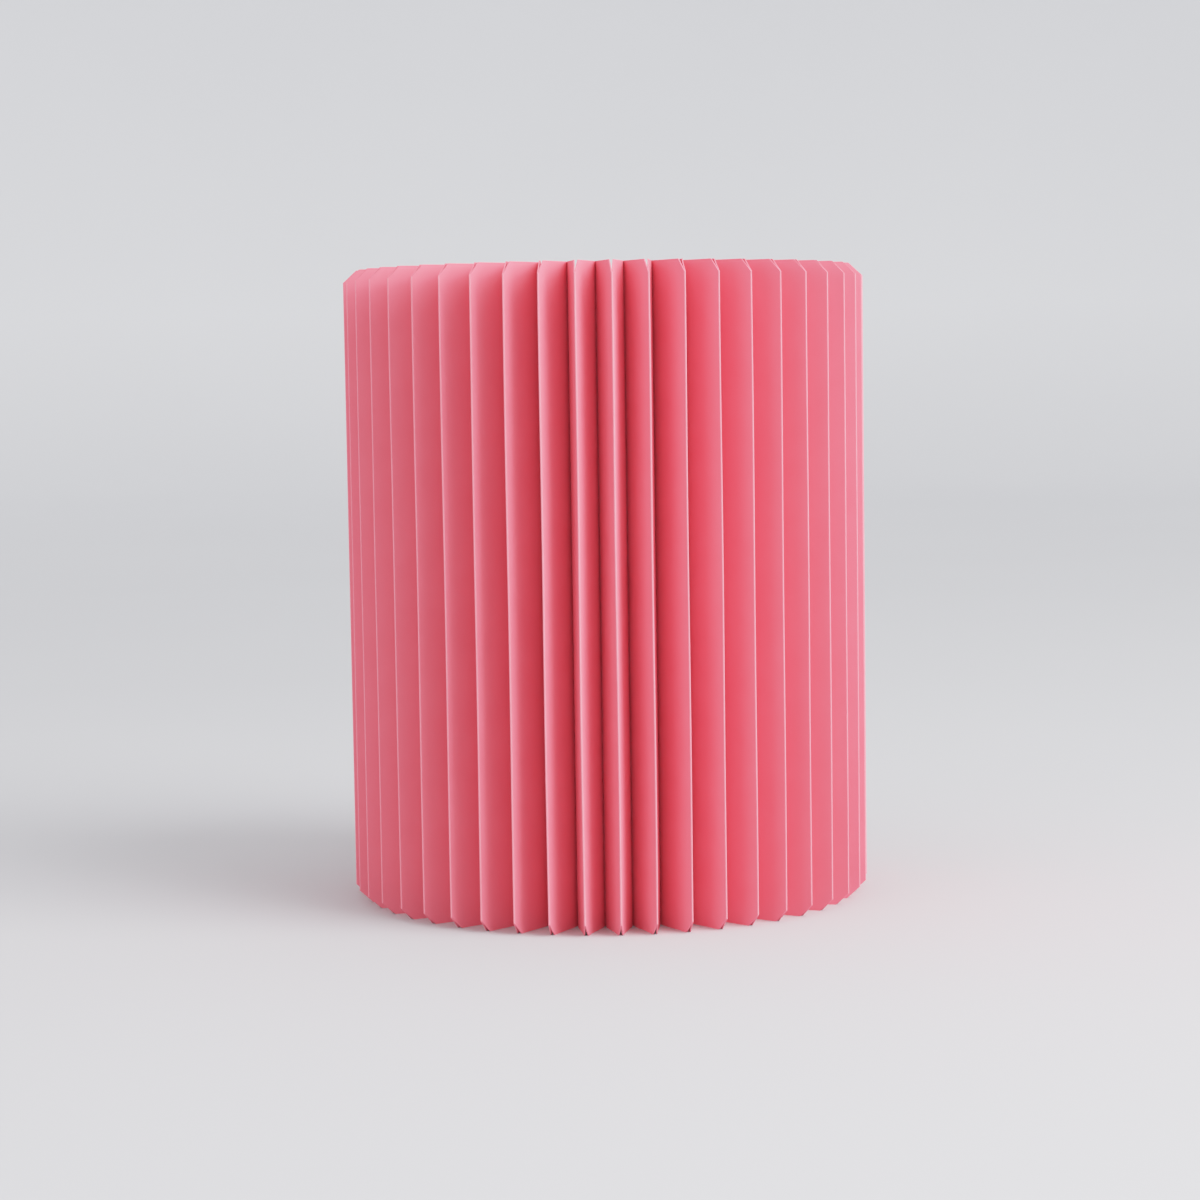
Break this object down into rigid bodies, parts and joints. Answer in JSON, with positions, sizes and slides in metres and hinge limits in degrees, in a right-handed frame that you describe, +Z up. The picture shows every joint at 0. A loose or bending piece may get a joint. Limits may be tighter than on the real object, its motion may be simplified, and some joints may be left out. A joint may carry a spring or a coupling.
{
  "type": "accordion paper lantern",
  "caption": "Standing ring of vertically pleated pink card with clipped mountain corners, closed by magnets at a rear seam, round a battery tealight.",
  "frame": {"origin": "on the lantern's axis, on the surface it stands on", "axes": "+Z up along the axis of the ring, -Y towards the front, where the pictured side is; the seam is at +Y"},
  "size_m": [0.2064, 0.2066, 0.25],
  "materials": {
    "card": "matte dyed heavy card with pale worn creases",
    "nickel": "nickel plated disc magnet",
    "white_plastic": "satin moulded plastic",
    "wax_plastic": "wax-like translucent plastic",
    "flame_plastic": "frosted amber diffuser",
    "led_epoxy": "clear warm epoxy",
    "board": "solder-masked board",
    "steel": "bright steel",
    "switch_plastic": "black moulded plastic"
  },
  "bodies": {
    "pleat_01": {"pleat_01": "card", "panel_magnet_lower": "nickel", "panel_magnet_upper": "nickel"},
    "pleat_02": {"pleat_02": "card"},
    "pleat_03": {"pleat_03": "card"},
    "pleat_04": {"pleat_04": "card"},
    "pleat_05": {"pleat_05": "card"},
    "pleat_06": {"pleat_06": "card"},
    "pleat_07": {"pleat_07": "card"},
    "pleat_08": {"pleat_08": "card"},
    "pleat_09": {"pleat_09": "card"},
    "pleat_10": {"pleat_10": "card"},
    "pleat_11": {"pleat_11": "card"},
    "pleat_12": {"pleat_12": "card"},
    "pleat_13": {"pleat_13": "card"},
    "pleat_14": {"pleat_14": "card"},
    "pleat_15": {"pleat_15": "card"},
    "pleat_16": {"pleat_16": "card"},
    "pleat_17": {"pleat_17": "card"},
    "pleat_18": {"pleat_18": "card"},
    "pleat_19": {"pleat_19": "card"},
    "pleat_20": {"pleat_20": "card"},
    "pleat_21": {"pleat_21": "card"},
    "pleat_22": {"pleat_22": "card"},
    "pleat_23": {"pleat_23": "card"},
    "pleat_24": {"pleat_24": "card"},
    "pleat_25": {"pleat_25": "card"},
    "pleat_26": {"pleat_26": "card"},
    "pleat_27": {"pleat_27": "card"},
    "pleat_28": {"pleat_28": "card"},
    "pleat_29": {"pleat_29": "card"},
    "pleat_30": {"pleat_30": "card"},
    "pleat_31": {"pleat_31": "card"},
    "pleat_32": {"pleat_32": "card"},
    "pleat_33": {"pleat_33": "card"},
    "pleat_34": {"pleat_34": "card"},
    "pleat_35": {"pleat_35": "card"},
    "pleat_36": {"pleat_36": "card"},
    "pleat_37": {"pleat_37": "card"},
    "pleat_38": {"pleat_38": "card"},
    "pleat_39": {"pleat_39": "card"},
    "pleat_40": {"pleat_40": "card"},
    "pleat_41": {"pleat_41": "card"},
    "pleat_42": {"pleat_42": "card"},
    "pleat_43": {"pleat_43": "card"},
    "pleat_44": {"pleat_44": "card"},
    "pleat_45": {"pleat_45": "card"},
    "pleat_46": {"pleat_46": "card", "flap_magnet_lower": "nickel", "flap_magnet_upper": "nickel"},
    "tealight": {"tealight_cup": "white_plastic", "tealight_deck": "wax_plastic", "flame": "flame_plastic", "led": "led_epoxy", "led_board": "board", "contact_spring": "steel", "coin_cell": "steel", "battery_hatch": "white_plastic", "hatch_screw": "steel"},
    "switch": {"slide_switch": "switch_plastic"}
  },
  "joints": [
    {"name": "valley_hinge_01", "type": "hinge", "parent": "pleat_02", "child": "pleat_01", "pos_m": [-0.00751, 0.07904, 0], "axis": [0, 0, 1], "range_deg": [0, 7.51]},
    {"name": "valley_hinge_02", "type": "hinge", "parent": "pleat_03", "child": "pleat_02", "pos_m": [-0.01778, 0.07738, 0], "axis": [0, 0, 1], "range_deg": [0, 7.54]},
    {"name": "valley_hinge_03", "type": "hinge", "parent": "pleat_04", "child": "pleat_03", "pos_m": [-0.02781, 0.07437, 0], "axis": [0, 0, 1], "range_deg": [0, 7.59]},
    {"name": "valley_hinge_04", "type": "hinge", "parent": "pleat_05", "child": "pleat_04", "pos_m": [-0.03742, 0.07003, 0], "axis": [0, 0, 1], "range_deg": [0, 7.66]},
    {"name": "valley_hinge_05", "type": "hinge", "parent": "pleat_06", "child": "pleat_05", "pos_m": [-0.04646, 0.06439, 0], "axis": [0, 0, 1], "range_deg": [0, 7.74]},
    {"name": "valley_hinge_06", "type": "hinge", "parent": "pleat_07", "child": "pleat_06", "pos_m": [-0.05475, 0.05751, 0], "axis": [0, 0, 1], "range_deg": [0, 7.83]},
    {"name": "valley_hinge_07", "type": "hinge", "parent": "pleat_08", "child": "pleat_07", "pos_m": [-0.0621, 0.04947, 0], "axis": [0, 0, 1], "range_deg": [0, 7.91]},
    {"name": "valley_hinge_08", "type": "hinge", "parent": "pleat_09", "child": "pleat_08", "pos_m": [-0.06835, 0.0404, 0], "axis": [0, 0, 1], "range_deg": [0, 8]},
    {"name": "valley_hinge_09", "type": "hinge", "parent": "pleat_10", "child": "pleat_09", "pos_m": [-0.07333, 0.03046, 0], "axis": [0, 0, 1], "range_deg": [0, 8.06]},
    {"name": "valley_hinge_10", "type": "hinge", "parent": "pleat_11", "child": "pleat_10", "pos_m": [-0.07688, 0.01983, 0], "axis": [0, 0, 1], "range_deg": [0, 8.12]},
    {"name": "valley_hinge_11", "type": "hinge", "parent": "pleat_12", "child": "pleat_11", "pos_m": [-0.07892, 0.00875, 0], "axis": [0, 0, 1], "range_deg": [0, 8.15]},
    {"name": "valley_hinge_12", "type": "hinge", "parent": "pleat_13", "child": "pleat_12", "pos_m": [-0.07936, -0.00253, 0], "axis": [0, 0, 1], "range_deg": [0, 8.15]},
    {"name": "valley_hinge_13", "type": "hinge", "parent": "pleat_14", "child": "pleat_13", "pos_m": [-0.0782, -0.01375, 0], "axis": [0, 0, 1], "range_deg": [0, 8.14]},
    {"name": "valley_hinge_14", "type": "hinge", "parent": "pleat_15", "child": "pleat_14", "pos_m": [-0.07548, -0.02465, 0], "axis": [0, 0, 1], "range_deg": [0, 8.1]},
    {"name": "valley_hinge_15", "type": "hinge", "parent": "pleat_16", "child": "pleat_15", "pos_m": [-0.07127, -0.035, 0], "axis": [0, 0, 1], "range_deg": [0, 8.04]},
    {"name": "valley_hinge_16", "type": "hinge", "parent": "pleat_17", "child": "pleat_16", "pos_m": [-0.06571, -0.04458, 0], "axis": [0, 0, 1], "range_deg": [0, 7.96]},
    {"name": "valley_hinge_17", "type": "hinge", "parent": "pleat_18", "child": "pleat_17", "pos_m": [-0.05894, -0.0532, 0], "axis": [0, 0, 1], "range_deg": [0, 7.87]},
    {"name": "valley_hinge_18", "type": "hinge", "parent": "pleat_19", "child": "pleat_18", "pos_m": [-0.05114, -0.06073, 0], "axis": [0, 0, 1], "range_deg": [0, 7.79]},
    {"name": "valley_hinge_19", "type": "hinge", "parent": "pleat_20", "child": "pleat_19", "pos_m": [-0.0425, -0.06707, 0], "axis": [0, 0, 1], "range_deg": [0, 7.7]},
    {"name": "valley_hinge_20", "type": "hinge", "parent": "pleat_21", "child": "pleat_20", "pos_m": [-0.03318, -0.07213, 0], "axis": [0, 0, 1], "range_deg": [0, 7.62]},
    {"name": "valley_hinge_21", "type": "hinge", "parent": "pleat_22", "child": "pleat_21", "pos_m": [-0.02337, -0.07588, 0], "axis": [0, 0, 1], "range_deg": [0, 7.56]},
    {"name": "valley_hinge_22", "type": "hinge", "parent": "pleat_23", "child": "pleat_22", "pos_m": [-0.01321, -0.07829, 0], "axis": [0, 0, 1], "range_deg": [0, 7.52]},
    {"name": "valley_hinge_23", "type": "hinge", "parent": "pleat_24", "child": "pleat_23", "pos_m": [-0.00287, -0.07935, 0], "axis": [0, 0, 1], "range_deg": [0, 7.5]},
    {"name": "valley_hinge_24", "type": "hinge", "parent": "pleat_24", "child": "pleat_25", "pos_m": [0.00751, -0.07904, 0], "axis": [0, 0, -1], "range_deg": [0, 7.51]},
    {"name": "valley_hinge_25", "type": "hinge", "parent": "pleat_25", "child": "pleat_26", "pos_m": [0.01778, -0.07738, 0], "axis": [0, 0, -1], "range_deg": [0, 7.54]},
    {"name": "valley_hinge_26", "type": "hinge", "parent": "pleat_26", "child": "pleat_27", "pos_m": [0.02781, -0.07437, 0], "axis": [0, 0, -1], "range_deg": [0, 7.59]},
    {"name": "valley_hinge_27", "type": "hinge", "parent": "pleat_27", "child": "pleat_28", "pos_m": [0.03742, -0.07003, 0], "axis": [0, 0, -1], "range_deg": [0, 7.66]},
    {"name": "valley_hinge_28", "type": "hinge", "parent": "pleat_28", "child": "pleat_29", "pos_m": [0.04646, -0.06439, 0], "axis": [0, 0, -1], "range_deg": [0, 7.74]},
    {"name": "valley_hinge_29", "type": "hinge", "parent": "pleat_29", "child": "pleat_30", "pos_m": [0.05475, -0.05751, 0], "axis": [0, 0, -1], "range_deg": [0, 7.83]},
    {"name": "valley_hinge_30", "type": "hinge", "parent": "pleat_30", "child": "pleat_31", "pos_m": [0.0621, -0.04947, 0], "axis": [0, 0, -1], "range_deg": [0, 7.91]},
    {"name": "valley_hinge_31", "type": "hinge", "parent": "pleat_31", "child": "pleat_32", "pos_m": [0.06835, -0.0404, 0], "axis": [0, 0, -1], "range_deg": [0, 8]},
    {"name": "valley_hinge_32", "type": "hinge", "parent": "pleat_32", "child": "pleat_33", "pos_m": [0.07333, -0.03046, 0], "axis": [0, 0, -1], "range_deg": [0, 8.06]},
    {"name": "valley_hinge_33", "type": "hinge", "parent": "pleat_33", "child": "pleat_34", "pos_m": [0.07688, -0.01983, 0], "axis": [0, 0, -1], "range_deg": [0, 8.12]},
    {"name": "valley_hinge_34", "type": "hinge", "parent": "pleat_34", "child": "pleat_35", "pos_m": [0.07892, -0.00875, 0], "axis": [0, 0, -1], "range_deg": [0, 8.15]},
    {"name": "valley_hinge_35", "type": "hinge", "parent": "pleat_35", "child": "pleat_36", "pos_m": [0.07936, 0.00253, 0], "axis": [0, 0, -1], "range_deg": [0, 8.15]},
    {"name": "valley_hinge_36", "type": "hinge", "parent": "pleat_36", "child": "pleat_37", "pos_m": [0.0782, 0.01375, 0], "axis": [0, 0, -1], "range_deg": [0, 8.14]},
    {"name": "valley_hinge_37", "type": "hinge", "parent": "pleat_37", "child": "pleat_38", "pos_m": [0.07548, 0.02465, 0], "axis": [0, 0, -1], "range_deg": [0, 8.1]},
    {"name": "valley_hinge_38", "type": "hinge", "parent": "pleat_38", "child": "pleat_39", "pos_m": [0.07127, 0.035, 0], "axis": [0, 0, -1], "range_deg": [0, 8.04]},
    {"name": "valley_hinge_39", "type": "hinge", "parent": "pleat_39", "child": "pleat_40", "pos_m": [0.06571, 0.04458, 0], "axis": [0, 0, -1], "range_deg": [0, 7.96]},
    {"name": "valley_hinge_40", "type": "hinge", "parent": "pleat_40", "child": "pleat_41", "pos_m": [0.05894, 0.0532, 0], "axis": [0, 0, -1], "range_deg": [0, 7.87]},
    {"name": "valley_hinge_41", "type": "hinge", "parent": "pleat_41", "child": "pleat_42", "pos_m": [0.05114, 0.06073, 0], "axis": [0, 0, -1], "range_deg": [0, 7.79]},
    {"name": "valley_hinge_42", "type": "hinge", "parent": "pleat_42", "child": "pleat_43", "pos_m": [0.0425, 0.06707, 0], "axis": [0, 0, -1], "range_deg": [0, 7.7]},
    {"name": "valley_hinge_43", "type": "hinge", "parent": "pleat_43", "child": "pleat_44", "pos_m": [0.03318, 0.07213, 0], "axis": [0, 0, -1], "range_deg": [0, 7.62]},
    {"name": "valley_hinge_44", "type": "hinge", "parent": "pleat_44", "child": "pleat_45", "pos_m": [0.02337, 0.07588, 0], "axis": [0, 0, -1], "range_deg": [0, 7.56]},
    {"name": "valley_hinge_45", "type": "hinge", "parent": "pleat_45", "child": "pleat_46", "pos_m": [0.01321, 0.07829, 0], "axis": [0, 0, -1], "range_deg": [0, 7.52]},
    {"name": "tealight_lift", "type": "slide", "parent": "pleat_24", "child": "tealight", "axis": [0, 0, 1], "range_m": [0, 0.26]},
    {"name": "switch_slide", "type": "slide", "parent": "tealight", "child": "switch", "axis": [0, 1, 0], "range_m": [0, 0.003]}
  ],
  "couplings": [
    {"joint": "valley_hinge_01", "follows": "valley_hinge_23", "ratio": 1.0007},
    {"joint": "valley_hinge_02", "follows": "valley_hinge_23", "ratio": 1.0046},
    {"joint": "valley_hinge_03", "follows": "valley_hinge_23", "ratio": 1.0114},
    {"joint": "valley_hinge_04", "follows": "valley_hinge_23", "ratio": 1.0206},
    {"joint": "valley_hinge_05", "follows": "valley_hinge_23", "ratio": 1.0315},
    {"joint": "valley_hinge_06", "follows": "valley_hinge_23", "ratio": 1.0433},
    {"joint": "valley_hinge_07", "follows": "valley_hinge_23", "ratio": 1.0551},
    {"joint": "valley_hinge_08", "follows": "valley_hinge_23", "ratio": 1.066},
    {"joint": "valley_hinge_09", "follows": "valley_hinge_23", "ratio": 1.0753},
    {"joint": "valley_hinge_10", "follows": "valley_hinge_23", "ratio": 1.0822},
    {"joint": "valley_hinge_11", "follows": "valley_hinge_23", "ratio": 1.0863},
    {"joint": "valley_hinge_12", "follows": "valley_hinge_23", "ratio": 1.0872},
    {"joint": "valley_hinge_13", "follows": "valley_hinge_23", "ratio": 1.0848},
    {"joint": "valley_hinge_14", "follows": "valley_hinge_23", "ratio": 1.0795},
    {"joint": "valley_hinge_15", "follows": "valley_hinge_23", "ratio": 1.0714},
    {"joint": "valley_hinge_16", "follows": "valley_hinge_23", "ratio": 1.0613},
    {"joint": "valley_hinge_17", "follows": "valley_hinge_23", "ratio": 1.0498},
    {"joint": "valley_hinge_18", "follows": "valley_hinge_23", "ratio": 1.0379},
    {"joint": "valley_hinge_19", "follows": "valley_hinge_23", "ratio": 1.0265},
    {"joint": "valley_hinge_20", "follows": "valley_hinge_23", "ratio": 1.0162},
    {"joint": "valley_hinge_21", "follows": "valley_hinge_23", "ratio": 1.0081},
    {"joint": "valley_hinge_22", "follows": "valley_hinge_23", "ratio": 1.0025},
    {"joint": "valley_hinge_24", "follows": "valley_hinge_23", "ratio": 1.0007},
    {"joint": "valley_hinge_25", "follows": "valley_hinge_23", "ratio": 1.0046},
    {"joint": "valley_hinge_26", "follows": "valley_hinge_23", "ratio": 1.0114},
    {"joint": "valley_hinge_27", "follows": "valley_hinge_23", "ratio": 1.0206},
    {"joint": "valley_hinge_28", "follows": "valley_hinge_23", "ratio": 1.0315},
    {"joint": "valley_hinge_29", "follows": "valley_hinge_23", "ratio": 1.0433},
    {"joint": "valley_hinge_30", "follows": "valley_hinge_23", "ratio": 1.0551},
    {"joint": "valley_hinge_31", "follows": "valley_hinge_23", "ratio": 1.066},
    {"joint": "valley_hinge_32", "follows": "valley_hinge_23", "ratio": 1.0753},
    {"joint": "valley_hinge_33", "follows": "valley_hinge_23", "ratio": 1.0822},
    {"joint": "valley_hinge_34", "follows": "valley_hinge_23", "ratio": 1.0863},
    {"joint": "valley_hinge_35", "follows": "valley_hinge_23", "ratio": 1.0872},
    {"joint": "valley_hinge_36", "follows": "valley_hinge_23", "ratio": 1.0848},
    {"joint": "valley_hinge_37", "follows": "valley_hinge_23", "ratio": 1.0795},
    {"joint": "valley_hinge_38", "follows": "valley_hinge_23", "ratio": 1.0714},
    {"joint": "valley_hinge_39", "follows": "valley_hinge_23", "ratio": 1.0613},
    {"joint": "valley_hinge_40", "follows": "valley_hinge_23", "ratio": 1.0498},
    {"joint": "valley_hinge_41", "follows": "valley_hinge_23", "ratio": 1.0379},
    {"joint": "valley_hinge_42", "follows": "valley_hinge_23", "ratio": 1.0265},
    {"joint": "valley_hinge_43", "follows": "valley_hinge_23", "ratio": 1.0162},
    {"joint": "valley_hinge_44", "follows": "valley_hinge_23", "ratio": 1.0081},
    {"joint": "valley_hinge_45", "follows": "valley_hinge_23", "ratio": 1.0025}
  ]
}
